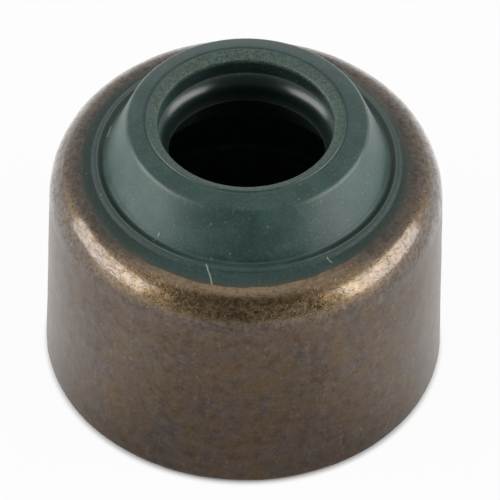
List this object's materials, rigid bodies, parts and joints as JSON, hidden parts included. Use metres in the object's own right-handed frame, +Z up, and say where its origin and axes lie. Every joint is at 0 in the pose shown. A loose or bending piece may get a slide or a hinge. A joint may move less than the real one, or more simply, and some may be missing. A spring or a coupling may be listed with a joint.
{
  "type": "valve stem seal",
  "caption": "Round valve stem seal: a drawn brown steel shell, open below, with a moulded green rubber cone through its flange. Grips a valve guide and wipes the stem.",
  "frame": {"origin": "centre of the shell's open mouth, on the surface that it stands on", "axes": "+Z up along the axis, from the guide's socket to the sealing lip; turned all round, so X and Y are free"},
  "size_m": [0.0164, 0.0164, 0.0131],
  "materials": {
    "phosphated_steel": "satin, brown oxide coat with mottled stains",
    "green_rubber": "satin, dark grey-green"
  },
  "bodies": {
    "root": {"steel_shell": "phosphated_steel", "rubber_seal": "green_rubber"}
  },
  "joints": []
}
